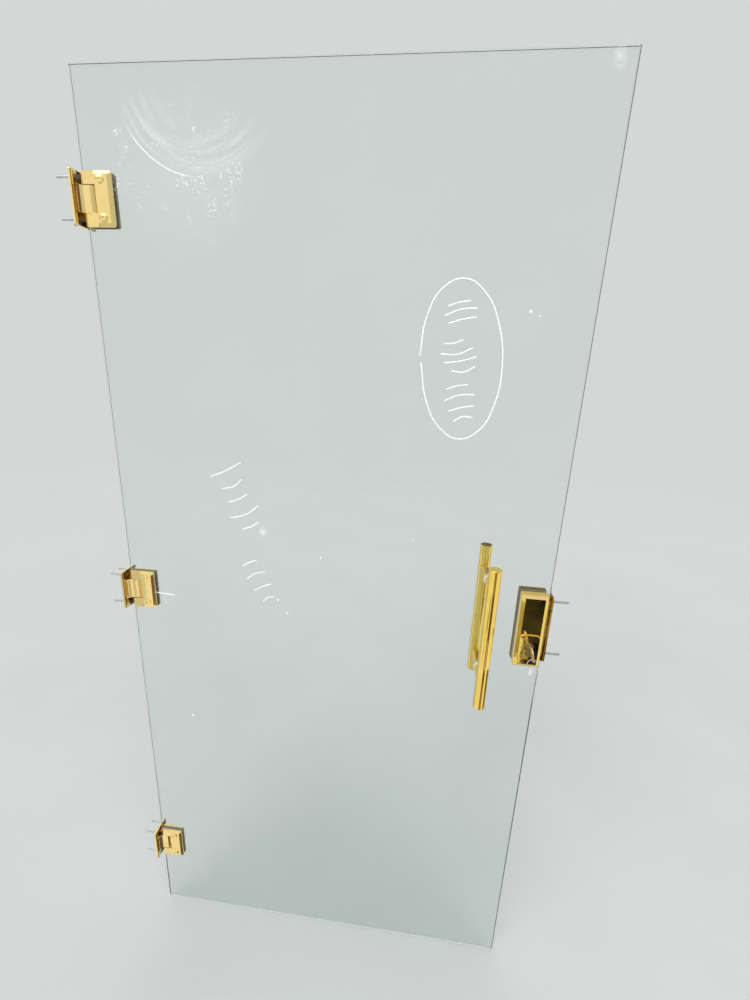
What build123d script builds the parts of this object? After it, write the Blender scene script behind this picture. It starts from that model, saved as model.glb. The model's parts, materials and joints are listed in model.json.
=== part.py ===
from build123d import *
import os
from math import cos, radians, sin

os.makedirs("parts", exist_ok=True)

# Frameless glass entrance door: a toughened glass leaf on three wall-to-glass pivot hinges, with a
# pull handle on each side and a key lock at the free edge. All sizes are in millimetres.
# The frame: X runs from the hinge wall to the strike wall, Y from the front to the rear, Z up.
# The origin is at the middle of the opening, in the mid-plane of the glass, at its bottom edge.

# Opening and glass
opening_width = 950.0
hinge_side_gap = 9.0
strike_side_gap = 6.0
glass_height = 1995.0
glass_thickness = 12.0
glass_arris = 1.2
gasket_thickness = 1.0
running_gap = 0.05
threaded_gap = 0.05
seat_gap = 0.02
plate_edge = 0.5

# Countersunk screws: their cross recess, as shares of the head's radius, and the room past their ends
recess_length_share = 1.0
recess_width_share = 0.26
recess_depth_share = 0.32
screw_end_room = 1.0

# Hinges: heights on the leaf and the wall side
hinge_height = 90.0
top_hinge_drop = 205.0
bottom_hinge_rise = 220.0
pivot_offset = 24.0
wall_plate_depth = 54.0
wall_plate_thickness = 5.0
wall_plate_corner = 2.5
wall_plate_edge = 0.8
knuckle_radius = 11.5
knuckle_height = 45.0
cove_radius = 11.5
cove_land = 0.5
knuckle_edge = 0.4

# Hinges: clamps on the glass
clamp_reach = 45.0
clamp_heel = 11.0
clamp_thickness = 6.0
clamp_corner = 5.0
raised_field_corner = 1.0
raised_past_recess = 1.0
clamp_bevel_width = 6.0
clamp_bevel_depth = 3.0
arm_drop = 1.2
knuckle_side_clearance = 2.5
knuckle_end_clearance = 0.8
carrier_clearance = 1.5
gasket_inset = 0.3

# Hinges: pin, detent and screws
pin_radius = 4.0
plunger_travel = 0.7
pin_flat_length = 36.0
pin_end_chamfer = 0.6
lug_height = 9.2
plunger_radius = 3.9
plunger_length = 8.0
plunger_nose_chamfer = 1.0
plunger_spacing = 18.0
detent_disc_count = 4
detent_rim_radius = 3.6
detent_waist_radius = 2.4
detent_bore_radius = 1.2
thrust_washer_radius = 8.5
wall_screw_spacing_depth = 28.0
wall_screw_spacing_height = 68.0
wall_screw_radius = 2.4
wall_screw_head_radius = 4.7
wall_screw_standout = 35.0
wall_screw_neck_radius = 2.0
block_screw_spacing = 35.0
block_screw_radius = 2.5
block_screw_head_radius = 4.6
block_screw_reach = 10.0
clamp_screw_spacing = 62.0
clamp_screw_from_pivot = 25.0
clamp_screw_radius = 3.0
clamp_screw_head_radius = 7.75
clamp_screw_head_rise = 2.4
clamp_screw_rim_height = 0.8
clamp_screw_socket = 2.4
clamp_screw_socket_depth = 1.9
ear_radius = 8.5

# Pull handles
handle_setback = 130.0
handle_height = 996.0
grip_length = 315.0
grip_radius = 12.5
grip_wall = 1.5
grip_finger_gap = 49.5
grip_cap_thickness = 3.0
grip_end_chamfer = 0.6
standoff_spacing = 212.0
standoff_radius = 8.0
stud_radius = 4.0
stud_bite = 20.0
handle_hole_radius = 8.0
bush_gap = 0.3
handle_washer_radius = 9.5
grub_screw_radius = 2.5
grub_screw_from_glass = 12.0
grub_screw_socket = 1.4
grub_screw_socket_depth = 1.8

# Lock covers
lock_height = 999.5
lock_cover_height = 168.0
lock_cover_width = 54.0
lock_cover_setback = 7.0
lock_cover_depth = 19.0
lock_cover_wall = 2.5
lock_cover_edge = 0.6
lock_bevel_width = 7.0
lock_bevel_depth = 4.0
lock_notch_height = 153.0
lock_glass_overlap = 9.0
lock_notch_corner = 4.0
cover_screw_spacing_width = 24.0
cover_screw_spacing_height = 142.0
cover_screw_radius = 2.5
cover_screw_head_radius = 4.6
cover_boss_radius = 5.0
lock_gasket_inset = 0.3
guard_width = 40.0
guard_height = 68.0
guard_thickness = 3.5
guard_corner = 6.5
guard_edge = 0.7
guard_screw_spacing = 30.0
guard_screw_radius = 1.9
guard_screw_head_radius = 3.8
guard_screw_head_height = 1.2
guard_screw_skin = 1.0
guard_screw_end_room = 0.5

# Lock case, bolt and strike
case_height = 130.0
case_thickness = 11.6
case_depth = 50.0
case_wall = 2.0
forend_height = 152.0
forend_width = 22.0
forend_thickness = 3.0
forend_proud = 2.2
forend_screw_spacing = 122.0
forend_screw_radius = 2.0
forend_screw_reach = 11.0
bolt_height = 20.0
bolt_thickness = 8.6
bolt_guided_length = 29.0
bolt_rise = 28.0
bolt_throw = 15.0
bolt_slide_gap = 0.4
bolt_nose_round = 1.5
bolt_sunk = 0.2
strike_plate_width = 25.0
strike_plate_thickness = 3.0
strike_slot_margin = 1.5
strike_screw_spacing = 124.0

# Key cylinder, key and what hangs from it
key_axis_setback = 34.0
key_axis_drop = 32.0
profile_radius = 8.5
profile_leg_half = 5.0
profile_drop = 24.5
profile_gap = 0.2
cylinder_length = 61.0
plug_radius = 6.45
cam_radius = 15.2
cam_half_width = 4.8
cam_lever_half = 4.0
cam_slot_half = 5.1
cylinder_screw_radius = 2.5
cylinder_screw_head_radius = 4.5
cylinder_screw_past_axis = 3.0
key_turn = 12.0
key_thickness = 2.2
key_blade_height = 8.0
key_neck_length = 11.0
key_tip_room = 2.0
key_bit_count = 5
key_bit_depth = 1.6
key_edge = 0.25
key_bow_length = 31.0
key_bow_height = 31.0
key_bow_overlap = 1.0
key_hole_radius = 2.4
key_hole_drop = 11.0
key_hole_from_neck = 14.5
thumb_turn_length = 14.0
thumb_neck_length = 4.7
thumb_neck_radius = 5.4
thumb_turn_round = 1.5
thumb_turn_height = 32.0
thumb_turn_thickness = 7.0
ring_radius = 9.5
ring_wire_radius = 0.85
tag_width = 12.0
tag_height = 19.0
tag_thickness = 0.9
tag_corner = 1.5
tag_hole_from_top = 1.6
tag_hole_radius = 3.2
hang_gap = 0.4
tag_twist = 40.0

# Places that follow from the sizes
hinge_wall_x = -opening_width / 2
strike_wall_x = opening_width / 2
glass_left = hinge_wall_x + hinge_side_gap
glass_right = strike_wall_x - strike_side_gap
glass_half = glass_thickness / 2
plate_inner = glass_half + gasket_thickness
pivot_x = hinge_wall_x + pivot_offset
wall_plate_face = hinge_wall_x + wall_plate_thickness
hinge_levels = {
    "bottom": bottom_hinge_rise,
    "middle": (bottom_hinge_rise + glass_height - top_hinge_drop) / 2,
    "top": glass_height - top_hinge_drop,
}


def upright(y):
    """The upright plane at depth y, seen from the front: local x is right and local y is up."""
    return Plane.XZ.offset(-y)


def sideways(x):
    """The upright plane at x, facing the strike wall: local x is to the rear and local y is up."""
    return Plane.YZ.offset(x)


def facing_hinge_wall(x):
    """The upright plane at x, facing the hinge wall: local x is to the front and local y is up."""
    return Plane(origin=(x, 0, 0), x_dir=(0, -1, 0), z_dir=(-1, 0, 0))


def facing_rear(y):
    """The upright plane at depth y, seen from the rear: local x is to the left and local y is up."""
    return Plane(origin=(0, y, 0), x_dir=(-1, 0, 0), z_dir=(0, 1, 0))


def turned(*outline):
    """A turned piece, from (radius, height) points of its half section, standing on the origin."""
    with BuildPart() as piece:
        with BuildSketch(Plane.XZ):
            with BuildLine():
                Polyline(*outline, close=True)
            make_face()
        revolve(axis=Axis.Z)
    return piece.part


def countersunk_screw(radius, head_radius, length, neck_radius=None, neck_end=0):
    """A countersunk screw with a cross recess: its head's face is on the origin, its point below.
    A thinner neck, where it has one, ends at neck_end under the face."""
    under_head = neck_radius or radius
    outline = [(0, 0), (head_radius, 0), (under_head, under_head - head_radius)]
    if neck_radius:
        outline += [(neck_radius, -neck_end), (radius, -neck_end)]
    outline += [(radius, radius - length), (0, -length)]
    with BuildPart() as screw:
        add(turned(*outline))
        with BuildSketch(Plane.XY):
            for angle in (0, 90):
                Rectangle(
                    recess_length_share * head_radius, recess_width_share * head_radius, rotation=angle
                )
        extrude(amount=-recess_depth_share * head_radius, mode=Mode.SUBTRACT)
    return screw.part


def save(piece, name):
    """Label a finished piece and write it as one file of its own."""
    piece.label = name
    export_step(piece, f"parts/{name}.step")


# Glass cut-outs for the hinges: a slot open to the edge, with an ear at each clamp screw
cutout_half = knuckle_height / 2 + knuckle_end_clearance + lug_height + carrier_clearance
clamp_screw_x = pivot_x + clamp_screw_from_pivot
cutout_inner = clamp_screw_x
carrier_left = pivot_x - clamp_heel
knuckle_recess_x = pivot_x + knuckle_radius + knuckle_side_clearance
recess_half = knuckle_height / 2 + knuckle_end_clearance


def hinge_cutout(level):
    """Draw the outline of one hinge cut-out in the sketch that is open."""
    with Locations(((glass_left + cutout_inner) / 2, level)):
        Rectangle(cutout_inner - glass_left, 2 * cutout_half)
    with Locations((clamp_screw_x, level)):
        with GridLocations(0, clamp_screw_spacing, 1, 2):
            Circle(ear_radius)


# Lock places
lock_cover_right = glass_right - lock_cover_setback
lock_cover_left = lock_cover_right - lock_cover_width
lock_cover_x = (lock_cover_left + lock_cover_right) / 2
lock_notch_left = lock_cover_left + lock_glass_overlap
lock_cover_face = plate_inner + lock_cover_depth
forend_face = glass_right + forend_proud
forend_back = forend_face - forend_thickness
key_x = glass_right - key_axis_setback
key_axis_height = lock_height - key_axis_drop
guard_level = key_axis_height - (profile_drop - profile_radius) / 2
handle_x = glass_right - handle_setback
standoff_levels = [handle_height - standoff_spacing / 2, handle_height + standoff_spacing / 2]

with BuildPart() as glass:
    with BuildSketch(upright(glass_half)):
        with Locations(((glass_left + glass_right) / 2, glass_height / 2)):
            Rectangle(glass_right - glass_left, glass_height)
    extrude(amount=glass_thickness)
    flat_faces = glass.faces().filter_by(Axis.Y)
    chamfer(flat_faces.edges(), length=glass_arris)
    with BuildSketch(upright(glass_half)):
        for level in hinge_levels.values():
            hinge_cutout(level)
        notch_width = glass_right + lock_notch_corner - lock_notch_left
        with Locations((lock_notch_left + notch_width / 2, lock_height)):
            RectangleRounded(notch_width, lock_notch_height, lock_notch_corner)
        for level in standoff_levels:
            with Locations((handle_x, level)):
                Circle(handle_hole_radius)
    extrude(amount=glass_thickness, mode=Mode.SUBTRACT)
save(glass.part, "glass_leaf")

# Hinge screws and washers, one model of each
wall_screw = countersunk_screw(
    wall_screw_radius,
    wall_screw_head_radius,
    wall_plate_thickness + wall_screw_standout,
    neck_radius=wall_screw_neck_radius,
    neck_end=wall_plate_thickness,
)
block_screw = countersunk_screw(
    block_screw_radius, block_screw_head_radius, wall_plate_thickness + block_screw_reach
)
clamp_screw_length = 2 * plate_inner + clamp_thickness
with BuildPart() as clamp_screw:
    with BuildSketch(Plane.XZ):
        with BuildLine():
            Line((0, -clamp_screw_length), (clamp_screw_radius, -clamp_screw_length))
            Line((clamp_screw_radius, -clamp_screw_length), (clamp_screw_radius, 0))
            Line((clamp_screw_radius, 0), (clamp_screw_head_radius, 0))
            Line((clamp_screw_head_radius, 0), (clamp_screw_head_radius, clamp_screw_rim_height))
            TangentArc(
                (0, clamp_screw_head_rise),
                (clamp_screw_head_radius, clamp_screw_rim_height),
                tangent=(1, 0),
            )
            Line((0, clamp_screw_head_rise), (0, -clamp_screw_length))
        make_face()
    revolve(axis=Axis.Z)
    with BuildSketch(Plane.XY.offset(clamp_screw_head_rise)):
        RegularPolygon(clamp_screw_socket, 6)
    extrude(amount=-clamp_screw_socket_depth, mode=Mode.SUBTRACT)

# Detent: a stack of sprung discs behind each plunger, pressing it towards the pin
plunger_nose = pivot_x - pin_radius - 2 * running_gap
plunger_back = plunger_nose - plunger_length
disc_pitch = (plunger_back - wall_plate_face) / detent_disc_count
disc_outline = [(detent_bore_radius, 0), (detent_waist_radius, 0)]
for disc in range(detent_disc_count):
    disc_outline.append((detent_rim_radius, (disc + 0.5) * disc_pitch))
    disc_outline.append((detent_waist_radius, (disc + 1) * disc_pitch))
disc_outline.append((detent_bore_radius, detent_disc_count * disc_pitch))
detent_stack = turned(*disc_outline)
plunger = turned(
    (0, 0),
    (plunger_radius, 0),
    (plunger_radius, plunger_length - plunger_nose_chamfer),
    (plunger_radius - plunger_nose_chamfer, plunger_length),
    (0, plunger_length),
)

for place, level in hinge_levels.items():
    with BuildPart() as wall_plate:
        with BuildSketch(sideways(hinge_wall_x)):
            with Locations((0, level)):
                RectangleRounded(wall_plate_depth, hinge_height, wall_plate_corner)
        extrude(amount=wall_plate_thickness)
        chamfer(wall_plate.faces().sort_by(Axis.X)[-1].edges(), length=wall_plate_edge)
        with Locations(sideways(wall_plate_face)):
            with Locations((0, level)):
                with GridLocations(wall_screw_spacing_depth, wall_screw_spacing_height, 2, 2):
                    CounterSinkHole(
                        wall_screw_radius + threaded_gap,
                        wall_screw_head_radius + threaded_gap,
                        depth=wall_plate_thickness,
                        counter_sink_angle=90,
                    )
        with Locations(facing_hinge_wall(hinge_wall_x)):
            with Locations((0, level)):
                with GridLocations(0, block_screw_spacing, 1, 2):
                    CounterSinkHole(
                        block_screw_radius + threaded_gap,
                        block_screw_head_radius + threaded_gap,
                        depth=wall_plate_thickness,
                        counter_sink_angle=90,
                    )
    save(wall_plate.part, f"{place}_hinge_wall_plate")

    # The block flares into its wall plate by a cove on each side, so that the clamps' corners
    # swing past it, and ends in a half round about the pivot axis.
    cove_start = wall_plate_face + cove_land
    cove_centre = (cove_start + cove_radius, knuckle_radius + cove_radius)
    with BuildPart() as pivot_block:
        with BuildSketch(Plane.XY.offset(level - knuckle_height / 2)):
            with Locations(((wall_plate_face + pivot_x) / 2, 0)):
                Rectangle(pivot_x - wall_plate_face, 2 * (knuckle_radius + cove_radius))
            for side in (-1, 1):
                with Locations(((cove_centre[0] + pivot_x) / 2, side * cove_centre[1])):
                    Rectangle(pivot_x - cove_centre[0], 2 * cove_radius, mode=Mode.SUBTRACT)
                with Locations((cove_centre[0], side * cove_centre[1])):
                    Circle(cove_radius, mode=Mode.SUBTRACT)
            with Locations((pivot_x, 0)):
                Circle(knuckle_radius)
                Circle(pin_radius + running_gap, mode=Mode.SUBTRACT)
        extrude(amount=knuckle_height)
        nose_edges = pivot_block.edges().filter_by(GeomType.CIRCLE).filter_by(Axis.Z, reverse=True)
        chamfer(nose_edges.filter_by(lambda edge: edge.center().X > pivot_x), length=knuckle_edge)
        with Locations(facing_hinge_wall(wall_plate_face)):
            with Locations((0, level)):
                with GridLocations(0, plunger_spacing, 1, 2):
                    Hole(plunger_radius + running_gap, depth=pivot_x - wall_plate_face)
                with GridLocations(0, block_screw_spacing, 1, 2):
                    Hole(block_screw_radius + threaded_gap, depth=block_screw_reach + screw_end_room)
    save(pivot_block.part, f"{place}_hinge_pivot_block")

    with BuildPart() as detent_springs:
        with Locations(sideways(wall_plate_face)):
            with Locations((0, level)):
                with GridLocations(0, plunger_spacing, 1, 2):
                    add(detent_stack)
    save(detent_springs.part, f"{place}_hinge_detent_springs")

    with BuildPart() as detent_plungers:
        with Locations(sideways(plunger_back)):
            with Locations((0, level)):
                with GridLocations(0, plunger_spacing, 1, 2):
                    add(plunger)
    save(detent_plungers.part, f"{place}_hinge_detent_plungers")

    # The pin turns with the leaf. Its four flats meet the plungers at each quarter turn.
    pin_half = recess_half + lug_height
    pin_across_flats = 2 * (pin_radius - plunger_travel)
    with BuildPart() as pivot_pin:
        with BuildSketch(Plane.XY.offset(level - pin_half)):
            with Locations((pivot_x, 0)):
                Circle(pin_radius)
        extrude(amount=2 * pin_half)
        chamfer(pivot_pin.faces().filter_by(Axis.Z).edges(), length=pin_end_chamfer)
        with BuildSketch(Plane.XY.offset(level - pin_flat_length / 2)):
            with Locations((pivot_x, 0)):
                Circle(2 * pin_radius)
                Rectangle(pin_across_flats, pin_across_flats, mode=Mode.SUBTRACT)
        extrude(amount=pin_flat_length, mode=Mode.SUBTRACT)
    save(pivot_pin.part, f"{place}_hinge_pivot_pin")

    clamp_right = pivot_x + clamp_reach
    raised_left = knuckle_recess_x - raised_past_recess
    raised_run = clamp_right - raised_left
    arm_thickness = clamp_thickness - arm_drop
    base_thickness = clamp_thickness - clamp_bevel_depth
    for side, outward in (("front", 1), ("rear", -1)):
        inner = -outward * plate_inner
        with BuildPart() as clamp:
            # The raised field, bevelled at its top, bottom and free side
            with BuildSketch(upright(inner - outward * base_thickness)):
                with Locations((clamp_right - raised_run, level)):
                    RectangleRounded(2 * raised_run, hinge_height, clamp_corner)
            with BuildSketch(upright(inner - outward * clamp_thickness)):
                with Locations((clamp_right - raised_run, level)):
                    RectangleRounded(
                        2 * (raised_run - clamp_bevel_width),
                        hinge_height - 2 * clamp_bevel_width,
                        raised_field_corner,
                    )
            loft(ruled=True)
            split(bisect_by=Plane.YZ.offset(raised_left), keep=Keep.TOP)
            # The flat plate under it, with its two arms, and the recess for the knuckle
            with BuildSketch(upright(inner)):
                with Locations(((carrier_left + clamp_right) / 2, level)):
                    RectangleRounded(clamp_right - carrier_left, hinge_height, clamp_corner)
                with Locations(((carrier_left + raised_left) / 2, level)):
                    Rectangle(raised_left - carrier_left, hinge_height)
            extrude(amount=outward * base_thickness)
            with BuildSketch(upright(inner - outward * base_thickness)):
                with Locations(((carrier_left + raised_left) / 2, level)):
                    Rectangle(raised_left - carrier_left, hinge_height)
            extrude(amount=outward * (arm_thickness - base_thickness))
            if side == "rear":
                # The rear clamp carries the pin lugs, in the glass cut-out
                with BuildSketch(upright(inner)):
                    with Locations(((carrier_left + clamp_screw_x - carrier_clearance) / 2, level)):
                        Rectangle(
                            clamp_screw_x - carrier_clearance - carrier_left,
                            2 * (cutout_half - carrier_clearance),
                        )
                    with Locations((clamp_screw_x, level)):
                        with GridLocations(0, clamp_screw_spacing, 1, 2):
                            Circle(ear_radius - carrier_clearance)
                extrude(amount=2 * plate_inner)
            with BuildSketch(upright(inner)):
                with Locations(((carrier_left + knuckle_recess_x) / 2, level)):
                    Rectangle(knuckle_recess_x - carrier_left, 2 * recess_half)
            extrude(amount=clamp_thickness, both=True, mode=Mode.SUBTRACT)
            if side == "rear":
                with BuildSketch(upright(plate_inner)):
                    with Locations(((carrier_left + knuckle_recess_x) / 2, level)):
                        Rectangle(knuckle_recess_x - carrier_left, 2 * recess_half)
                extrude(amount=2 * plate_inner, mode=Mode.SUBTRACT)
                with Locations((pivot_x, 0, level + hinge_height)):
                    Hole(pin_radius + seat_gap, depth=2 * hinge_height)
                with Locations(upright(-plate_inner)):
                    with Locations((clamp_screw_x, level)):
                        with GridLocations(0, clamp_screw_spacing, 1, 2):
                            Hole(clamp_screw_radius + threaded_gap, depth=2 * plate_inner + screw_end_room)
            else:
                with Locations(upright(inner - clamp_thickness)):
                    with Locations((clamp_screw_x, level)):
                        with GridLocations(0, clamp_screw_spacing, 1, 2):
                            Hole(clamp_screw_radius + threaded_gap, depth=clamp_thickness + screw_end_room)
        save(clamp.part, f"{place}_hinge_{side}_clamp")

    with BuildPart() as hinge_gaskets:
        for face in (-glass_half, plate_inner):
            with BuildSketch(upright(face)):
                with Locations(((carrier_left + clamp_right) / 2, level)):
                    RectangleRounded(
                        clamp_right - carrier_left - 2 * gasket_inset,
                        hinge_height - 2 * gasket_inset,
                        clamp_corner - gasket_inset,
                    )
                with Locations(((carrier_left + cutout_inner) / 2, level)):
                    Rectangle(cutout_inner - carrier_left, 2 * cutout_half, mode=Mode.SUBTRACT)
                with Locations((clamp_screw_x, level)):
                    with GridLocations(0, clamp_screw_spacing, 1, 2):
                        Circle(ear_radius, mode=Mode.SUBTRACT)
            extrude(amount=gasket_thickness)
    save(hinge_gaskets.part, f"{place}_hinge_gaskets")

with BuildPart() as hinge_wall_screws:
    with Locations(sideways(wall_plate_face)):
        for level in hinge_levels.values():
            with Locations((0, level)):
                with GridLocations(wall_screw_spacing_depth, wall_screw_spacing_height, 2, 2):
                    add(wall_screw)
save(hinge_wall_screws.part, "hinge_wall_screws")

with BuildPart() as hinge_block_screws:
    with Locations(facing_hinge_wall(hinge_wall_x)):
        for level in hinge_levels.values():
            with Locations((0, level)):
                with GridLocations(0, block_screw_spacing, 1, 2):
                    add(block_screw)
save(hinge_block_screws.part, "hinge_block_screws")

with BuildPart() as hinge_clamp_screws:
    with Locations(upright(-plate_inner - clamp_thickness)):
        for level in hinge_levels.values():
            with Locations((clamp_screw_x, level)):
                with GridLocations(0, clamp_screw_spacing, 1, 2):
                    add(clamp_screw.part)
save(hinge_clamp_screws.part, "hinge_clamp_screws")

# A thin washer between the block and each lug takes the weight of the leaf
thrust_washer_thickness = knuckle_end_clearance - 2 * running_gap
with BuildPart() as hinge_thrust_washers:
    for level in hinge_levels.values():
        for end in (level + knuckle_height / 2, level - knuckle_height / 2 - thrust_washer_thickness):
            with BuildSketch(Plane.XY.offset(end)):
                with Locations((pivot_x, 0)):
                    Circle(thrust_washer_radius)
                    Circle(pin_radius + running_gap, mode=Mode.SUBTRACT)
            extrude(amount=thrust_washer_thickness)
save(hinge_thrust_washers.part, "hinge_thrust_washers")

# Pull handles, one on each side of the glass, back to back on two studs
grip_y = glass_half + grip_finger_gap + grip_radius
for side, outward in (("front", -1), ("rear", 1)):
    with BuildPart() as grip:
        with BuildSketch(Plane.XY.offset(handle_height - grip_length / 2)):
            with Locations((handle_x, outward * grip_y)):
                Circle(grip_radius)
                Circle(grip_radius - grip_wall, mode=Mode.SUBTRACT)
        extrude(amount=grip_length)
        end_rims = grip.edges().filter_by(GeomType.CIRCLE).sort_by(SortBy.RADIUS)[-2:]
        chamfer(end_rims, length=grip_end_chamfer)
    save(grip.part, f"{side}_grip")

    # Each standoff is coped to the grip's round and takes half of the stud
    with BuildPart() as standoffs:
        with BuildSketch(upright(outward * plate_inner)):
            for level in standoff_levels:
                with Locations((handle_x, level)):
                    Circle(standoff_radius)
        extrude(amount=-outward * (grip_y - plate_inner))
        with BuildSketch(Plane.XY.offset(handle_height - grip_length / 2)):
            with Locations((handle_x, outward * grip_y)):
                Circle(grip_radius + seat_gap)
        extrude(amount=grip_length, mode=Mode.SUBTRACT)
        with BuildSketch(upright(outward * plate_inner)):
            for level in standoff_levels:
                with Locations((handle_x, level)):
                    Circle(stud_radius + threaded_gap)
        extrude(amount=-outward * (stud_bite + screw_end_room), mode=Mode.SUBTRACT)
        if side == "rear":
            for level in standoff_levels:
                with BuildSketch(Plane.XY.offset(level - standoff_radius)):
                    with Locations((handle_x, glass_half + grub_screw_from_glass)):
                        Circle(grub_screw_radius + threaded_gap)
                extrude(amount=standoff_radius, mode=Mode.SUBTRACT)
    save(standoffs.part, f"{side}_standoffs")

with BuildPart() as grip_end_caps:
    for outward in (-1, 1):
        for end in (-grip_length / 2, grip_length / 2 - grip_cap_thickness):
            with BuildSketch(Plane.XY.offset(handle_height + end)):
                with Locations((handle_x, outward * grip_y)):
                    Circle(grip_radius - grip_wall - running_gap)
            extrude(amount=grip_cap_thickness)
save(grip_end_caps.part, "grip_end_caps")

with BuildPart() as handle_studs:
    with BuildSketch(upright(0)):
        for level in standoff_levels:
            with Locations((handle_x, level)):
                Circle(stud_radius)
    extrude(amount=plate_inner + stud_bite, both=True)
save(handle_studs.part, "handle_studs")

with BuildPart() as handle_washers:
    for face in (-glass_half, plate_inner):
        with BuildSketch(upright(face)):
            for level in standoff_levels:
                with Locations((handle_x, level)):
                    Circle(handle_washer_radius)
                    Circle(stud_radius + threaded_gap, mode=Mode.SUBTRACT)
        extrude(amount=gasket_thickness)
save(handle_washers.part, "handle_washers")

with BuildPart() as handle_bushes:
    with BuildSketch(upright(0)):
        for level in standoff_levels:
            with Locations((handle_x, level)):
                Circle(handle_hole_radius - bush_gap)
                Circle(stud_radius + threaded_gap, mode=Mode.SUBTRACT)
    extrude(amount=glass_half, both=True)
save(handle_bushes.part, "handle_bushes")

grub_screw_length = standoff_radius - stud_radius - bush_gap
with BuildPart() as handle_grub_screws:
    for level in standoff_levels:
        with BuildSketch(Plane.XY.offset(level - stud_radius - grub_screw_length)):
            with Locations((handle_x, glass_half + grub_screw_from_glass)):
                Circle(grub_screw_radius)
        extrude(amount=grub_screw_length)
        with BuildSketch(Plane.XY.offset(level - stud_radius - grub_screw_length)):
            with Locations((handle_x, glass_half + grub_screw_from_glass)):
                RegularPolygon(grub_screw_socket, 6)
        extrude(amount=grub_screw_socket_depth, mode=Mode.SUBTRACT)
save(handle_grub_screws.part, "handle_grub_screws")


def key_profile(margin):
    """Draw the outline of the key cylinder, grown by a margin, in the upright sketch that is open."""
    with Locations((key_x, key_axis_height)):
        Circle(profile_radius + margin)
    leg = profile_drop - profile_leg_half
    with Locations((key_x, key_axis_height - leg / 2)):
        Rectangle(2 * (profile_leg_half + margin), leg)
    with Locations((key_x, key_axis_height - leg)):
        Circle(profile_leg_half + margin)


# Lock covers: a bevelled shell on each side of the glass, with a boss for each through screw
cover_straight = lock_cover_depth - lock_bevel_depth
for side, outward in (("front", 1), ("rear", -1)):
    inner = -outward * plate_inner
    with BuildPart() as lock_cover:
        with BuildSketch(upright(inner - outward * cover_straight)):
            with Locations((lock_cover_x, lock_height)):
                Rectangle(lock_cover_width, lock_cover_height)
        with BuildSketch(upright(inner - outward * lock_cover_depth)):
            with Locations((lock_cover_x, lock_height)):
                Rectangle(
                    lock_cover_width - 2 * lock_bevel_width, lock_cover_height - 2 * lock_bevel_width
                )
        loft(ruled=True)
        with BuildSketch(upright(inner)):
            with Locations((lock_cover_x, lock_height)):
                Rectangle(lock_cover_width, lock_cover_height)
        extrude(amount=outward * cover_straight)
        rim_y = inner - outward * cover_straight
        rim = lock_cover.edges().filter_by_position(Axis.Y, rim_y - seat_gap, rim_y + seat_gap)
        chamfer(rim, length=lock_cover_edge)
        with BuildSketch(upright(inner)):
            with Locations((lock_cover_x, lock_height)):
                Rectangle(
                    lock_cover_width - 2 * lock_cover_wall, lock_cover_height - 2 * lock_cover_wall
                )
        extrude(amount=outward * cover_straight, mode=Mode.SUBTRACT)
        with BuildSketch(upright(-outward * running_gap)):
            with Locations((lock_cover_x, lock_height)):
                with GridLocations(cover_screw_spacing_width, cover_screw_spacing_height, 2, 2):
                    Circle(cover_boss_radius)
        extrude(amount=outward * (plate_inner + cover_straight - running_gap))
        with BuildSketch(upright(0)):
            key_profile(profile_gap)
        extrude(amount=outward * 2 * lock_cover_face, mode=Mode.SUBTRACT)
        with BuildSketch(upright(0)):
            with Locations((key_x, guard_level)):
                with GridLocations(guard_screw_spacing, 0, 2, 1):
                    Circle(guard_screw_radius + threaded_gap)
        extrude(amount=outward * 2 * lock_cover_face, mode=Mode.SUBTRACT)
        if side == "rear":
            with Locations(facing_rear(lock_cover_face)):
                with Locations((-lock_cover_x, lock_height)):
                    with GridLocations(cover_screw_spacing_width, cover_screw_spacing_height, 2, 2):
                        CounterSinkHole(
                            cover_screw_radius + threaded_gap,
                            cover_screw_head_radius + threaded_gap,
                            depth=2 * lock_cover_face,
                            counter_sink_angle=90,
                        )
        else:
            with BuildSketch(upright(0)):
                with Locations((lock_cover_x, lock_height)):
                    with GridLocations(cover_screw_spacing_width, cover_screw_spacing_height, 2, 2):
                        Circle(cover_screw_radius + threaded_gap)
            extrude(amount=plate_inner + cover_straight, mode=Mode.SUBTRACT)
    save(lock_cover.part, f"{side}_lock_cover")

    with BuildPart() as guard_plate:
        with BuildSketch(upright(-outward * lock_cover_face)):
            with Locations((key_x, guard_level)):
                RectangleRounded(guard_width, guard_height, guard_corner)
        extrude(amount=outward * guard_thickness)
        outer_face = guard_plate.faces().sort_by(Axis.Y)[0 if side == "front" else -1]
        chamfer(outer_face.edges(), length=guard_edge)
        with BuildSketch(upright(-outward * lock_cover_face)):
            key_profile(profile_gap)
        extrude(amount=outward * guard_thickness, mode=Mode.SUBTRACT)
        with BuildSketch(upright(-outward * lock_cover_face)):
            with Locations((key_x, guard_level)):
                with GridLocations(guard_screw_spacing, 0, 2, 1):
                    Circle(guard_screw_radius + threaded_gap)
        extrude(amount=outward * (guard_thickness - guard_screw_skin), mode=Mode.SUBTRACT)
    save(guard_plate.part, f"{side}_guard_plate")

with BuildPart() as lock_cover_gaskets:
    for face in (-glass_half, plate_inner):
        with BuildSketch(upright(face)):
            with Locations((lock_cover_x, lock_height)):
                Rectangle(
                    lock_cover_width - 2 * lock_gasket_inset, lock_cover_height - 2 * lock_gasket_inset
                )
            with Locations(((lock_notch_left + lock_cover_right) / 2, lock_height)):
                Rectangle(lock_cover_right - lock_notch_left, lock_notch_height, mode=Mode.SUBTRACT)
        extrude(amount=gasket_thickness)
save(lock_cover_gaskets.part, "lock_cover_gaskets")

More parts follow.
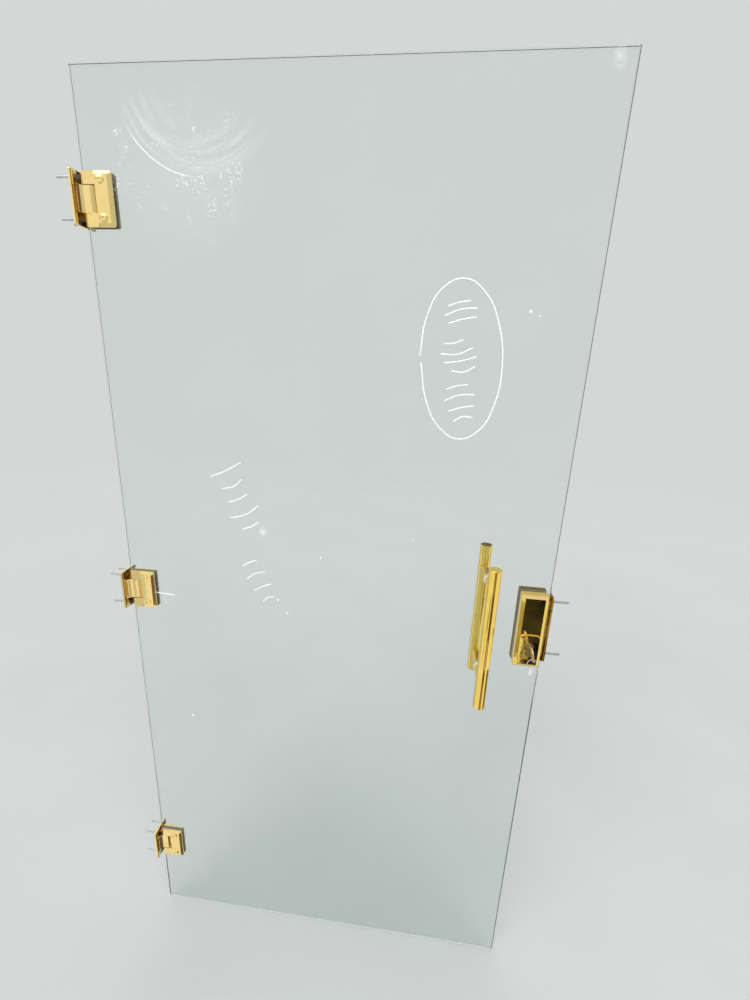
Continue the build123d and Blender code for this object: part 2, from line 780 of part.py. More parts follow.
cover_screw_length = lock_cover_face + plate_inner + cover_straight - screw_end_room
cover_screw = countersunk_screw(cover_screw_radius, cover_screw_head_radius, cover_screw_length)
with BuildPart() as lock_cover_screws:
    with Locations(facing_rear(lock_cover_face)):
        with Locations((-lock_cover_x, lock_height)):
            with GridLocations(cover_screw_spacing_width, cover_screw_spacing_height, 2, 2):
                add(cover_screw)
save(lock_cover_screws.part, "lock_cover_screws")

# Guard plate screws come from inside each cover
guard_screw_inside = plate_inner + cover_straight
guard_screw_length = lock_bevel_depth + guard_thickness - guard_screw_skin - guard_screw_end_room
guard_screw = turned(
    (0, 0),
    (guard_screw_radius, 0),
    (guard_screw_radius, guard_screw_length),
    (0, guard_screw_length),
)
guard_screw_head = turned(
    (0, 0),
    (guard_screw_head_radius, 0),
    (guard_screw_head_radius, -guard_screw_head_height),
    (0, -guard_screw_head_height),
)
with BuildPart() as guard_plate_screws:
    for plane, centre in ((upright(-guard_screw_inside), key_x), (facing_rear(guard_screw_inside), -key_x)):
        with Locations(plane):
            with Locations((centre, guard_level)):
                with GridLocations(guard_screw_spacing, 0, 2, 1):
                    add(guard_screw)
                    add(guard_screw_head)
save(guard_plate_screws.part, "guard_plate_screws")

# Lock case in the glass notch, with the bolt's channel and the cam's well
bolt_level = key_axis_height + bolt_rise
bolt_length = bolt_guided_length + bolt_throw
case_left = forend_back - case_depth
with BuildPart() as lock_case:
    with BuildSketch(upright(0)):
        with Locations(((case_left + forend_back) / 2, lock_height)):
            Rectangle(case_depth, case_height)
    extrude(amount=case_thickness / 2, both=True)
    with BuildSketch(sideways(case_left + case_wall)):
        with Locations((0, bolt_level)):
            Rectangle(bolt_thickness + bolt_slide_gap, bolt_height + bolt_slide_gap)
    extrude(amount=case_depth, mode=Mode.SUBTRACT)
    with BuildSketch(upright(0)):
        key_profile(profile_gap)
    extrude(amount=case_thickness, both=True, mode=Mode.SUBTRACT)
    with BuildSketch(upright(0)):
        with Locations((key_x, key_axis_height)):
            Circle(cam_radius + bolt_slide_gap)
    extrude(amount=cam_half_width + running_gap, both=True, mode=Mode.SUBTRACT)
    with Locations(sideways(forend_back)):
        with Locations((0, lock_height)):
            with GridLocations(0, forend_screw_spacing, 1, 2):
                Hole(forend_screw_radius + threaded_gap, depth=forend_screw_reach + screw_end_room)
        with Locations((0, key_axis_height - profile_drop + profile_leg_half)):
            Hole(cylinder_screw_radius + threaded_gap, depth=forend_back - key_x)
save(lock_case.part, "lock_case")

with BuildPart() as forend_plate:
    with BuildSketch(sideways(forend_back)):
        with Locations((0, lock_height)):
            Rectangle(forend_width, forend_height)
    extrude(amount=forend_thickness)
    chamfer(forend_plate.faces().sort_by(Axis.X)[-1].edges(), length=plate_edge)
    with BuildSketch(sideways(forend_back)):
        with Locations((0, bolt_level)):
            Rectangle(bolt_thickness + bolt_slide_gap, bolt_height + bolt_slide_gap)
    extrude(amount=forend_thickness, mode=Mode.SUBTRACT)
    with Locations(sideways(forend_face)):
        with Locations((0, lock_height)):
            with GridLocations(0, forend_screw_spacing, 1, 2):
                CounterSinkHole(
                    forend_screw_radius + threaded_gap,
                    2 * forend_screw_radius,
                    depth=forend_thickness,
                    counter_sink_angle=90,
                )
        with Locations((0, key_axis_height - profile_drop + profile_leg_half)):
            CounterSinkHole(
                cylinder_screw_radius + threaded_gap,
                cylinder_screw_head_radius,
                depth=forend_thickness,
                counter_sink_angle=90,
            )
save(forend_plate.part, "forend_plate")

forend_screw = countersunk_screw(
    forend_screw_radius, 2 * forend_screw_radius - threaded_gap, forend_thickness + forend_screw_reach
)
with BuildPart() as forend_screws:
    with Locations(sideways(forend_face)):
        with Locations((0, lock_height)):
            with GridLocations(0, forend_screw_spacing, 1, 2):
                add(forend_screw)
save(forend_screws.part, "forend_screws")

cylinder_screw_one = countersunk_screw(
    cylinder_screw_radius,
    cylinder_screw_head_radius - threaded_gap,
    forend_face - key_x + cylinder_screw_past_axis,
)
with BuildPart() as cylinder_screw:
    with Locations(sideways(forend_face)):
        with Locations((0, key_axis_height - profile_drop + profile_leg_half)):
            add(cylinder_screw_one)
save(cylinder_screw.part, "cylinder_screw")

with BuildPart() as dead_bolt:
    with BuildSketch(upright(0)):
        with Locations((forend_face - bolt_sunk - bolt_length / 2, bolt_level)):
            Rectangle(bolt_length, bolt_height)
    extrude(amount=bolt_thickness / 2, both=True)
    nose = dead_bolt.faces().sort_by(Axis.X)[-1]
    fillet(nose.edges().filter_by(Axis.Z), radius=bolt_nose_round)
save(dead_bolt.part, "dead_bolt")

strike_face = strike_wall_x - strike_plate_thickness
with BuildPart() as strike_plate:
    with BuildSketch(sideways(strike_face)):
        with Locations((0, lock_height)):
            RectangleRounded(strike_plate_width, forend_height, wall_plate_corner)
    extrude(amount=strike_plate_thickness)
    chamfer(strike_plate.faces().sort_by(Axis.X)[0].edges(), length=plate_edge)
    with BuildSketch(sideways(strike_face)):
        with Locations((0, bolt_level)):
            Rectangle(bolt_thickness + 2 * strike_slot_margin, bolt_height + 2 * strike_slot_margin)
    extrude(amount=strike_plate_thickness, mode=Mode.SUBTRACT)
    with Locations(facing_hinge_wall(strike_face)):
        with Locations((0, lock_height)):
            with GridLocations(0, strike_screw_spacing, 1, 2):
                CounterSinkHole(
                    wall_screw_radius + threaded_gap,
                    wall_screw_head_radius + threaded_gap,
                    depth=strike_plate_thickness,
                    counter_sink_angle=90,
                )
save(strike_plate.part, "strike_plate")

strike_screw = countersunk_screw(
    wall_screw_radius,
    wall_screw_head_radius,
    strike_plate_thickness + wall_screw_standout,
    neck_radius=wall_screw_neck_radius,
    neck_end=strike_plate_thickness,
)
with BuildPart() as strike_screws:
    with Locations(facing_hinge_wall(strike_face)):
        with Locations((0, lock_height)):
            with GridLocations(0, strike_screw_spacing, 1, 2):
                add(strike_screw)
save(strike_screws.part, "strike_screws")

# Key cylinder: a body of the usual key-shaped section, with a slot for the cam at the middle
cylinder_half = cylinder_length / 2
with BuildPart() as cylinder_body:
    with BuildSketch(upright(0)):
        key_profile(0)
        with Locations((key_x, key_axis_height)):
            Circle(plug_radius + running_gap, mode=Mode.SUBTRACT)
    extrude(amount=cylinder_half, both=True)
    with BuildSketch(upright(0)):
        with Locations((key_x, key_axis_height)):
            Circle(cam_radius + profile_gap)
    extrude(amount=cam_slot_half, both=True, mode=Mode.SUBTRACT)
    with Locations(sideways(key_x + profile_leg_half)):
        with Locations((0, key_axis_height - profile_drop + profile_leg_half)):
            Hole(cylinder_screw_radius + threaded_gap, depth=2 * profile_leg_half)
save(cylinder_body.part, "cylinder_body")

# The key and all that turns with it lean by the key's turn, seen from the front
plug_end = cylinder_half - profile_gap
plug_start = cam_slot_half + profile_gap
key_tip = plug_start + key_tip_room
key_place = Location((key_x, key_axis_height, 0), (0, 0, key_turn))
with BuildPart() as key_plug:
    with BuildSketch(upright(-plug_start)):
        with Locations((key_x, key_axis_height)):
            Circle(plug_radius)
    extrude(amount=plug_end - plug_start)
    with BuildSketch(upright(-plug_end)):
        with Locations(key_place):
            Rectangle(key_thickness + 2 * seat_gap, key_blade_height + 2 * seat_gap)
    extrude(amount=key_tip - key_tip_room / 2 - plug_end, mode=Mode.SUBTRACT)
save(key_plug.part, "key_plug")

cam_reach = (cam_radius**2 - cam_lever_half**2) ** 0.5
with BuildPart() as cylinder_cam:
    with BuildSketch(upright(0)):
        with Locations((key_x, key_axis_height)):
            Circle(plug_radius)
        with Locations(key_place):
            with Locations((0, -cam_reach / 2)):
                Rectangle(2 * cam_lever_half, cam_reach)
    extrude(amount=cam_half_width, both=True)
save(cylinder_cam.part, "cylinder_cam")

# The key is one flat piece: local x runs out of the lock and local y along the key's height
lean = radians(key_turn)
key_plane = Plane(
    origin=(key_x, 0, key_axis_height), x_dir=(0, -1, 0), z_dir=(-cos(lean), 0, -sin(lean))
)
key_neck_end = cylinder_half + key_neck_length
key_hole_x = key_neck_end + key_hole_from_neck
key_bit_pitch = (plug_end - key_tip) / (key_bit_count + 1)
with BuildPart() as door_key:
    with BuildSketch(key_plane):
        with Locations(((key_tip + key_neck_end) / 2, 0)):
            Rectangle(key_neck_end - key_tip, key_blade_height)
        with Locations((key_neck_end + key_bow_length / 2 - key_bow_overlap, 0)):
            Ellipse(key_bow_length / 2, key_bow_height / 2)
        with Locations((key_hole_x, -key_hole_drop)):
            Circle(key_hole_radius, mode=Mode.SUBTRACT)
        for bit in range(key_bit_count):
            with Locations((key_tip + (bit + 1) * key_bit_pitch, key_blade_height / 2)):
                Rectangle(2 * key_bit_depth, 2 * key_bit_depth, rotation=45, mode=Mode.SUBTRACT)
    extrude(amount=key_thickness / 2, both=True)
    key_faces = door_key.faces().sort_by(SortBy.AREA)[-2:]
    chamfer(key_faces.edges(), length=key_edge)
save(door_key.part, "door_key")

with BuildPart() as thumb_turn:
    with BuildSketch(upright(plug_start)):
        with Locations((key_x, key_axis_height)):
            Circle(plug_radius)
    extrude(amount=plug_start - plug_end)
    with BuildSketch(upright(plug_end)):
        with Locations((key_x, key_axis_height)):
            Circle(thumb_neck_radius)
    extrude(amount=-thumb_neck_length)
    with BuildSketch(upright(plug_end + thumb_neck_length)):
        with Locations(key_place):
            Ellipse(thumb_turn_thickness, thumb_turn_height / 2)
    extrude(amount=-thumb_turn_length)
    fillet(thumb_turn.faces().sort_by(Axis.Y)[-1].edges(), radius=thumb_turn_round)
save(thumb_turn.part, "thumb_turn")

# The ring hangs through the hole at the bottom of the bow, and the tag hangs from the ring
wire_drop = key_hole_drop + key_hole_radius - ring_wire_radius - hang_gap
ring_x = key_x + wire_drop * sin(lean)
ring_top = key_axis_height - wire_drop * cos(lean)
ring_centre = ring_top - ring_radius
with BuildPart() as key_ring:
    with BuildSketch(Plane.XY.offset(ring_centre)):
        with Locations((ring_x + ring_radius, -key_hole_x)):
            Circle(ring_wire_radius)
    revolve(axis=Axis((ring_x, -key_hole_x, ring_centre), (0, 1, 0)))
save(key_ring.part, "key_ring")

tag_hang = ring_centre - ring_radius - (tag_hole_radius - ring_wire_radius - hang_gap)
tag_top = tag_hang + tag_hole_radius + tag_hole_from_top
twist = radians(tag_twist)
tag_plane = Plane(
    origin=(ring_x, -key_hole_x, tag_hang),
    x_dir=(cos(twist), sin(twist), 0),
    z_dir=(sin(twist), -cos(twist), 0),
)
with BuildPart() as key_tag:
    with BuildSketch(tag_plane):
        with Locations((0, tag_top - tag_hang - tag_height / 2)):
            RectangleRounded(tag_width, tag_height, tag_corner)
        Circle(tag_hole_radius, mode=Mode.SUBTRACT)
    extrude(amount=tag_thickness / 2, both=True)
save(key_tag.part, "key_tag")
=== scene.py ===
import json
import math

import bpy
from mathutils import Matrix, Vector


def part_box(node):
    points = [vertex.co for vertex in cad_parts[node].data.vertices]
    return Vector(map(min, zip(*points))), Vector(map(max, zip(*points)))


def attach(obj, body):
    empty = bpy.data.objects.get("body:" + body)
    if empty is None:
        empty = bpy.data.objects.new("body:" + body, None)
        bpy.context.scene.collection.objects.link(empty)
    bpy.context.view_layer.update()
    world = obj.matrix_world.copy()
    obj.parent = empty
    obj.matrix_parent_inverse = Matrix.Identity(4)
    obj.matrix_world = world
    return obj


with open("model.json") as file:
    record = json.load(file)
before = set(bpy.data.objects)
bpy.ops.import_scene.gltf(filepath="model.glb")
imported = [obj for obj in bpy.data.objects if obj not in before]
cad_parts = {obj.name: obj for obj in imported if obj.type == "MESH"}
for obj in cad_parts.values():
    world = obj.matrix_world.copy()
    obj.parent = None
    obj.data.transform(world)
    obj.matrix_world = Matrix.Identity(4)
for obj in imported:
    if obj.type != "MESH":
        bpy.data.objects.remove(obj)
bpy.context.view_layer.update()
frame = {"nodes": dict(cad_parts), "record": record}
bpy.ops.object.select_all(action="DESELECT")

# The photograph's camera, with its focal length in pixels of a frame 1000 high
frame_height_px = 1000
focal_length_px = 435.3
sensor_width = 36.0
camera_place = (0.1837, -0.8576, 1.4998)
camera_turn = (74.15, -2.31, 6.62)

# Door
glass_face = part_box("glass_leaf")[0].y
door_middle = Vector((0, 0, 1.0))

# Floor and backdrop
floor_gap = 0.005
floor_radius = 8
floor_fade = (2.5, 7.5)
backdrop = (0.665, 0.68, 0.67)
daylight = (0.97, 0.98, 1.0)
daylight_strength = 0.50
lamp_spread = 50

# Dirt on the front of the glass, across and up: places with their reach, in metres
wipe_centre = (-0.236, 1.978)
wipe_radius = 0.153
wipe_rim = (0.0006, 0.0022)
wipe_rim_cover = 0.75
wipe_streaks = 90
wipe_haze_cover = 0.42
crust_cover = 0.85
smear_cover = 0.10
film_cover = 0.04
blot_cover = 0.55
speck_cover = 0.9
front_skin = (0.0005, 0.001)
crusted_patch = ((-0.275, 1.825), (0.165, 0.150))
crusts = (
    ((-0.243, 1.826), (0.026, 0.040)),
    ((-0.178, 1.832), (0.024, 0.036)),
    ((-0.222, 1.780), (0.016, 0.030)),
    ((-0.395, 1.812), (0.020, 0.022)),
    ((-0.387, 1.893), (0.014, 0.016)),
)
corner_smudge = ((0.439, 1.979), (0.013, 0.022))
pen_smudge = ((-0.146, 1.168), (0.012, 0.014))
specks = (
    ((0.356, 1.6205), 0.0034),
    ((0.3724, 1.6136), 0.0018),
    ((-0.0171, 1.1186), 0.0022),
    ((-0.343, 0.6617), 0.0036),
    ((-0.115, 1.0077), 0.0022),
    ((-0.0947, 0.977), 0.0022),
    ((0.1774, 1.1766), 0.0018),
)

# Marks in white paint pen
pen_radius = 0.0013
pen_depth = 0.0004
loop_centre = (0.243, 1.530)
loop_reach = (0.0742, 0.1408)
loop_lean = -5.0


# Node helpers

def fresh_material(name):
    """Make an empty node material and return it with its tree and its output node."""
    material = bpy.data.materials.new(name)
    material.use_nodes = True
    tree = material.node_tree
    tree.nodes.clear()
    return material, tree, tree.nodes.new("ShaderNodeOutputMaterial")


def place_on_piece(tree, stretch=(1, 1, 1)):
    """Object coordinates, stretched along the piece's own axes."""
    coordinates = tree.nodes.new("ShaderNodeTexCoord")
    mapping = tree.nodes.new("ShaderNodeMapping")
    mapping.inputs["Scale"].default_value = stretch
    tree.links.new(coordinates.outputs["Object"], mapping.inputs["Vector"])
    return mapping.outputs["Vector"]


def noise(tree, place, scale, detail=4.0, roughness=0.5, distortion=0.0):
    """A noise pattern's value at a place."""
    node = tree.nodes.new("ShaderNodeTexNoise")
    node.inputs["Scale"].default_value = scale
    node.inputs["Detail"].default_value = detail
    node.inputs["Roughness"].default_value = roughness
    node.inputs["Distortion"].default_value = distortion
    tree.links.new(place, node.inputs["Vector"])
    return node.outputs["Fac"]


def colours(tree, value, *stops):
    """A colour ramp with (position, colour) stops, read by a value."""
    node = tree.nodes.new("ShaderNodeValToRGB")
    ramp = node.color_ramp
    while len(ramp.elements) < len(stops):
        ramp.elements.new(0.5)
    for element, (position, colour) in zip(ramp.elements, stops):
        element.position = position
        element.color = (*colour, 1)
    tree.links.new(value, node.inputs["Fac"])
    return node.outputs["Color"]


def between(tree, value, low, high, to_low=0.0, to_high=1.0):
    """Spread the values from low to high over a new range, and stop at its ends."""
    node = tree.nodes.new("ShaderNodeMapRange")
    tree.links.new(value, node.inputs["Value"])
    node.inputs["From Min"].default_value = low
    node.inputs["From Max"].default_value = high
    node.inputs["To Min"].default_value = to_low
    node.inputs["To Max"].default_value = to_high
    return node.outputs["Result"]


def calculate(tree, operation, *values):
    """One step of arithmetic on sockets or plain numbers."""
    node = tree.nodes.new("ShaderNodeMath")
    node.operation = operation
    for socket, value in zip(node.inputs, values):
        if isinstance(value, (int, float)):
            socket.default_value = value
        else:
            tree.links.new(value, socket)
    return node.outputs["Value"]


def principled(tree, colour, roughness, metallic=0.0):
    """A Principled shader; colour and roughness are sockets or plain values."""
    shader = tree.nodes.new("ShaderNodeBsdfPrincipled")
    shader.inputs["Metallic"].default_value = metallic
    for name, value in (("Base Color", colour), ("Roughness", roughness)):
        if isinstance(value, bpy.types.NodeSocket):
            tree.links.new(value, shader.inputs[name])
        elif isinstance(value, tuple):
            shader.inputs[name].default_value = (*value, 1)
        else:
            shader.inputs[name].default_value = value
    return shader


def uneven(tree, shader, height, strength, distance):
    """Give a shader a slight relief."""
    node = tree.nodes.new("ShaderNodeBump")
    node.inputs["Strength"].default_value = strength
    node.inputs["Distance"].default_value = distance
    tree.links.new(height, node.inputs["Height"])
    tree.links.new(node.outputs["Normal"], shader.inputs["Normal"])


# Finishes

def polished_gold(name, dark, light):
    """Mirror-polished gold plating, a little wavy from buffing, with faint finger marks."""
    material, tree, output = fresh_material(name)
    place = place_on_piece(tree)
    tone = colours(tree, noise(tree, place, 30), (0.3, dark), (0.7, light))
    touched = between(tree, noise(tree, place, 55, 6, 0.6, 0.8), 0.45, 0.75, 0.04, 0.13)
    shader = principled(tree, tone, touched, 1.0)
    uneven(tree, shader, noise(tree, place, 70, 2), 0.12, 0.0006)
    tree.links.new(shader.outputs["BSDF"], output.inputs["Surface"])
    return material


def satin_metal(name, dark, light, roughness, turned_marks=900.0):
    """A machined metal with fine marks round its axis of turning."""
    material, tree, output = fresh_material(name)
    place = place_on_piece(tree)
    tone = colours(tree, noise(tree, place, 60), (0.3, dark), (0.7, light))
    marks = noise(tree, place_on_piece(tree, (0.05, 1, 0.05)), turned_marks, 2)
    shader = principled(tree, tone, between(tree, marks, 0.3, 0.7, roughness - 0.08, roughness + 0.08), 1.0)
    uneven(tree, shader, marks, 0.08, 0.0001)
    tree.links.new(shader.outputs["BSDF"], output.inputs["Surface"])
    return material


def matt_plastic(name, dark, light, roughness, clearness=0.0):
    """A moulded plastic with a fine grain."""
    material, tree, output = fresh_material(name)
    place = place_on_piece(tree)
    tone = colours(tree, noise(tree, place, 90), (0.3, dark), (0.7, light))
    grain = noise(tree, place, 1500, 2)
    shader = principled(tree, tone, between(tree, grain, 0.3, 0.7, roughness - 0.06, roughness + 0.06))
    shader.inputs["Transmission Weight"].default_value = clearness
    uneven(tree, shader, grain, 0.1, 0.0001)
    tree.links.new(shader.outputs["BSDF"], output.inputs["Surface"])
    return material


def oval_patch(tree, across, up, centre, reach, soft):
    """1 inside an oval on the glass, falling to 0 over its outer share soft."""
    x = calculate(tree, "DIVIDE", calculate(tree, "SUBTRACT", across, centre[0]), reach[0])
    z = calculate(tree, "DIVIDE", calculate(tree, "SUBTRACT", up, centre[1]), reach[1])
    squared = calculate(tree, "ADD", calculate(tree, "MULTIPLY", x, x), calculate(tree, "MULTIPLY", z, z))
    return between(tree, calculate(tree, "SQRT", squared), 1 - soft, 1, 1, 0)


def dirt_on_glass(tree, place):
    """How much dirt covers each place of the glass's front face, from 0 to 1."""
    axes = tree.nodes.new("ShaderNodeSeparateXYZ")
    tree.links.new(place, axes.inputs["Vector"])
    across, up = axes.outputs["X"], axes.outputs["Z"]

    # A wipe mark: a bright rim where the cloth stopped, and haze in streaks inside it
    x = calculate(tree, "SUBTRACT", across, wipe_centre[0])
    z = calculate(tree, "SUBTRACT", up, wipe_centre[1])
    squared = calculate(tree, "ADD", calculate(tree, "MULTIPLY", x, x), calculate(tree, "MULTIPLY", z, z))
    radius = calculate(tree, "SQRT", squared)
    turn = calculate(tree, "ARCTAN2", z, x)
    from_rim = calculate(tree, "ABSOLUTE", calculate(tree, "SUBTRACT", radius, wipe_radius))
    rim_run = calculate(tree, "MULTIPLY", between(tree, turn, -2.72, -2.45), between(tree, turn, -1.66, -1.80))
    rim = calculate(tree, "MULTIPLY", between(tree, from_rim, *wipe_rim, wipe_rim_cover, 0), rim_run)
    rings = tree.nodes.new("ShaderNodeCombineXYZ")
    tree.links.new(calculate(tree, "MULTIPLY", radius, wipe_streaks), rings.inputs["X"])
    tree.links.new(turn, rings.inputs["Y"])
    streaks = between(tree, noise(tree, rings.outputs["Vector"], 1.0, 4, 0.6), 0.40, 0.75)
    inside = calculate(tree, "MULTIPLY", between(tree, radius, 0.055, 0.12), between(tree, radius, 0.156, 0.148))
    haze = calculate(tree, "MULTIPLY", calculate(tree, "MULTIPLY", inside, streaks), between(tree, turn, -3.0, -2.5))
    haze = calculate(tree, "MULTIPLY", haze, between(tree, turn, -0.5, -1.1, 0, wipe_haze_cover))

    # Crusts of dried splashes
    clumps = between(tree, noise(tree, place, 30, 4, 0.6, 0.6), 0.52, 0.66)
    clumps = calculate(tree, "MULTIPLY", clumps, oval_patch(tree, across, up, *crusted_patch, 0.5))
    for centre, reach in crusts:
        clumps = calculate(tree, "MAXIMUM", clumps, oval_patch(tree, across, up, centre, reach, 0.8))
    crumbs = between(tree, noise(tree, place, 210, 4, 0.65, 0.3), 0.53, 0.63)
    crust = calculate(tree, "MULTIPLY", calculate(tree, "MULTIPLY", clumps, crumbs), crust_cover)

    # A thin smear round the crusts, a film over all the glass, a chalky corner and a rubbed blot of pen
    smears = calculate(tree, "MULTIPLY", oval_patch(tree, across, up, *crusted_patch, 0.9), smear_cover)
    film = between(tree, noise(tree, place, 5, 6, 0.6, 0.5), 0.35, 0.80, 0.0, film_cover)
    chalky = between(tree, noise(tree, place, 130, 4, 0.6), 0.36, 0.64, 0.10, 0.55)
    soiled = calculate(tree, "MULTIPLY", oval_patch(tree, across, up, *corner_smudge, 0.8), chalky)
    blot = calculate(tree, "MULTIPLY", oval_patch(tree, across, up, *pen_smudge, 0.9), blot_cover)
    dirt = film
    for layer in (rim, haze, crust, smears, soiled, blot):
        dirt = calculate(tree, "MAXIMUM", dirt, layer)
    for centre, reach in specks:
        spot = oval_patch(tree, across, up, centre, (reach, reach), 0.4)
        dirt = calculate(tree, "MAXIMUM", dirt, calculate(tree, "MULTIPLY", spot, speck_cover))

    # Only on the front face
    front = between(tree, axes.outputs["Y"], glass_face + front_skin[0], glass_face + front_skin[1], 1, 0)
    return calculate(tree, "MULTIPLY", dirt, front)


def toughened_glass():
    """Clear float glass, green through its thickness, with dirt on its front face."""
    material, tree, output = fresh_material("toughened glass")
    clear = principled(tree, (0.944, 0.966, 0.955), 0.0)
    clear.inputs["Transmission Weight"].default_value = 1.0
    clear.inputs["IOR"].default_value = 1.52
    place = place_on_piece(tree)
    fine = noise(tree, place, 160, 5, 0.7)
    dust = principled(tree, colours(tree, fine, (0.4, (0.82, 0.85, 0.85)), (0.7, (0.93, 0.95, 0.95))), 0.9)
    dusty = tree.nodes.new("ShaderNodeMixShader")
    tree.links.new(dirt_on_glass(tree, place), dusty.inputs["Fac"])
    tree.links.new(clear.outputs["BSDF"], dusty.inputs[1])
    tree.links.new(dust.outputs["BSDF"], dusty.inputs[2])

    lamp_light = tree.nodes.new("ShaderNodeBsdfTransparent")
    lamp_light.inputs["Color"].default_value = (0.92, 0.955, 0.94, 1)
    rays = tree.nodes.new("ShaderNodeLightPath")
    surface = tree.nodes.new("ShaderNodeMixShader")
    tree.links.new(rays.outputs["Is Shadow Ray"], surface.inputs["Fac"])
    tree.links.new(dusty.outputs["Shader"], surface.inputs[1])
    tree.links.new(lamp_light.outputs["BSDF"], surface.inputs[2])
    tree.links.new(surface.outputs["Shader"], output.inputs["Surface"])

    green = tree.nodes.new("ShaderNodeVolumeAbsorption")
    green.inputs["Color"].default_value = (0.28, 0.66, 0.54, 1)
    green.inputs["Density"].default_value = 6.0
    tree.links.new(green.outputs["Volume"], output.inputs["Volume"])
    return material


def pen_white():
    """Dried white paint pen, thicker in places."""
    material, tree, output = fresh_material("white paint pen")
    place = place_on_piece(tree)
    tone = colours(tree, noise(tree, place, 220, 3), (0.3, (0.84, 0.86, 0.86)), (0.6, (0.96, 0.97, 0.97)))
    shader = principled(tree, tone, 0.55)
    tree.links.new(shader.outputs["BSDF"], output.inputs["Surface"])
    return material


# Pen marks

def pen_strokes(name, lines):
    """Lay smooth lines of paint on the glass, each through points given across and up."""
    bpy.ops.curve.primitive_bezier_curve_add(location=(0, 0, 0))
    strokes = bpy.context.object
    strokes.name = name
    bpy.ops.object.mode_set(mode="EDIT")
    bpy.ops.curve.select_all(action="SELECT")
    bpy.ops.curve.delete(type="VERT")
    bpy.ops.object.mode_set(mode="OBJECT")
    for points in lines:
        line = strokes.data.splines.new("BEZIER")
        line.bezier_points.add(len(points) - 1)
        for knot, (across, up) in zip(line.bezier_points, points):
            knot.co = (across, up, 0)
            knot.handle_left_type = knot.handle_right_type = "AUTO"
    strokes.data.bevel_depth = pen_radius
    strokes.data.bevel_resolution = 2
    strokes.data.use_fill_caps = True
    bpy.ops.object.select_all(action="DESELECT")
    strokes.select_set(True)
    bpy.context.view_layer.objects.active = strokes
    bpy.ops.object.convert(target="MESH")
    strokes.scale = (1, 1, pen_depth / pen_radius)
    strokes.rotation_euler = (math.radians(90), 0, 0)
    strokes.location = (0, glass_face, 0)
    bpy.ops.object.transform_apply(location=True, rotation=True, scale=True)
    strokes.data.materials.append(pen_white())
    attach(strokes, "leaf")


def hatching(start, end, lengths, slope, bow):
    """Slanted, slightly bowed dashes side by side from one place to another."""
    along = Vector((math.cos(math.radians(slope)), math.sin(math.radians(slope))))
    across = Vector((-along.y, along.x))
    lines = []
    for index, length in enumerate(lengths):
        middle = Vector(start).lerp(Vector(end), index / (len(lengths) - 1))
        sag = bow * (1 if index % 2 else 0.4)
        lines.append([
            tuple(middle - along * length / 2),
            tuple(middle + across * sag),
            tuple(middle + along * length / 2),
        ])
    return lines


# A hand-drawn oval, a little open where the pen came round
lean = math.radians(loop_lean)
loop_points = []
for step in range(13):
    angle = math.radians(178 + 29.6 * step)
    swell = 0.985 + 0.03 * step / 12
    x, z = swell * loop_reach[0] * math.cos(angle), swell * loop_reach[1] * math.sin(angle)
    loop_points.append((
        loop_centre[0] + x * math.cos(lean) + z * math.sin(lean),
        loop_centre[1] - x * math.sin(lean) + z * math.cos(lean),
    ))
pen_strokes("pen_loop", [loop_points])

# Plain dashes where the glass is marked
for name, start, end, lengths, slope, bow in (
    ("pen_dashes_high", (0.231, 1.631), (0.239, 1.603), (0.040, 0.058, 0.050), 14, 0.004),
    ("pen_dashes_middle", (0.226, 1.566), (0.248, 1.520), (0.036, 0.058, 0.060, 0.044), 12, -0.006),
    ("pen_dashes_low", (0.240, 1.487), (0.256, 1.428), (0.040, 0.056, 0.048, 0.036), 14, 0.005),
    ("pen_dashes_left", (-0.222, 1.300), (-0.172, 1.180), (0.076, 0.052, 0.048, 0.070, 0.040), 27, -0.006),
    ("pen_dashes_left_low", (-0.178, 1.092), (-0.136, 1.008), (0.036, 0.048, 0.044, 0.030), 27, 0.004),
):
    pen_strokes(name, hatching(start, end, lengths, slope, bow))
pen_strokes("pen_line", [((-0.4085, 0.9979), (-0.3877, 0.9966), (-0.3609, 0.9951))])


# Finishes on the door's pieces
finishes = {
    "glass": toughened_glass(),
    "gold": polished_gold("deep polished gold", (0.87, 0.61, 0.130), (0.93, 0.67, 0.175)),
    "cylinder_brass": satin_metal("cylinder brass", (0.42, 0.31, 0.13), (0.52, 0.39, 0.18), 0.28),
    "steel": satin_metal("machined steel", (0.50, 0.50, 0.50), (0.66, 0.66, 0.65), 0.32),
    "key_metal": satin_metal("worn key brass", (0.66, 0.52, 0.38), (0.84, 0.71, 0.57), 0.34),
    "ring_wire": satin_metal("ring wire", (0.74, 0.70, 0.60), (0.88, 0.85, 0.77), 0.22),
    "tag": matt_plastic("pale tag plastic", (0.82, 0.85, 0.76), (0.92, 0.94, 0.87), 0.45, 0.1),
    "nylon": matt_plastic("nylon", (0.80, 0.80, 0.76), (0.88, 0.88, 0.85), 0.50),
    "gasket": matt_plastic("gasket sheet", (0.36, 0.34, 0.30), (0.46, 0.44, 0.40), 0.60),
}
hinge_gold = polished_gold("pale polished gold", (0.89, 0.67, 0.270), (0.94, 0.73, 0.330))
slots = {part["node"]: part["material_slot"] for part in frame["record"]["subparts"]}
for name, node in frame["nodes"].items():
    finish = hinge_gold if slots[name] == "gold" and "hinge" in name else finishes[slots[name]]
    for index in range(len(node.data.materials)):
        node.data.materials[index] = finish


# Floor and light

